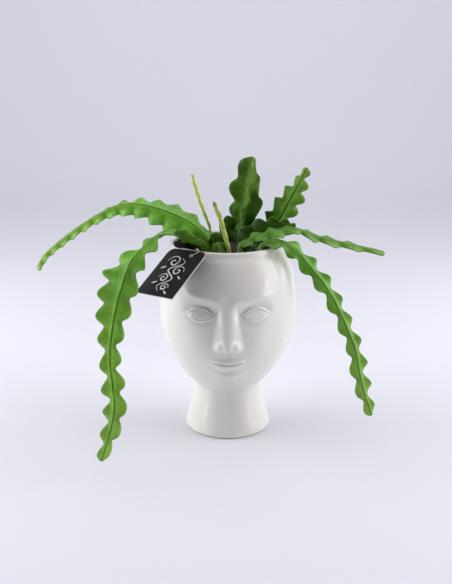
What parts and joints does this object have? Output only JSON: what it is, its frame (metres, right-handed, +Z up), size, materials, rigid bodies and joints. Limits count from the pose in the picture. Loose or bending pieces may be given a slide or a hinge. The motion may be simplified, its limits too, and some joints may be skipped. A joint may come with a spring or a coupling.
{
  "type": "potted fishbone cactus in a head planter",
  "caption": "White ceramic head-shaped planter on a flared foot, filled with soil and planted with a fishbone cactus whose flat lobed stems rise, arch and hang; black card tag on the rim.",
  "frame": {"origin": "centre of the foot's flat underside", "axes": "+Z up along the planter's turning axis; the face looks along -Y; +X is to the right of someone who faces the planter"},
  "size_m": [0.3092, 0.1687, 0.2479],
  "materials": {
    "white_glaze": "gloss",
    "potting_soil": "matte",
    "cactus_stem": "satin",
    "young_shoot": "satin",
    "black_card": "matte",
    "tag_string": "matte"
  },
  "bodies": {
    "root": {"planter": "white_glaze", "soil": "potting_soil", "stem_left_arching": "cactus_stem", "stem_left_hanging": "cactus_stem", "stem_centre_upright": "cactus_stem", "stem_right_upright": "cactus_stem", "stem_right_arching": "cactus_stem", "stem_right_hanging": "cactus_stem", "stem_right_leaning": "cactus_stem", "stem_short_left": "cactus_stem", "stem_short_front": "cactus_stem", "stem_short_back": "cactus_stem", "shoot_tall": "young_shoot", "shoot_short": "young_shoot", "tag_card": "black_card", "tag_loop": "tag_string"}
  },
  "joints": []
}
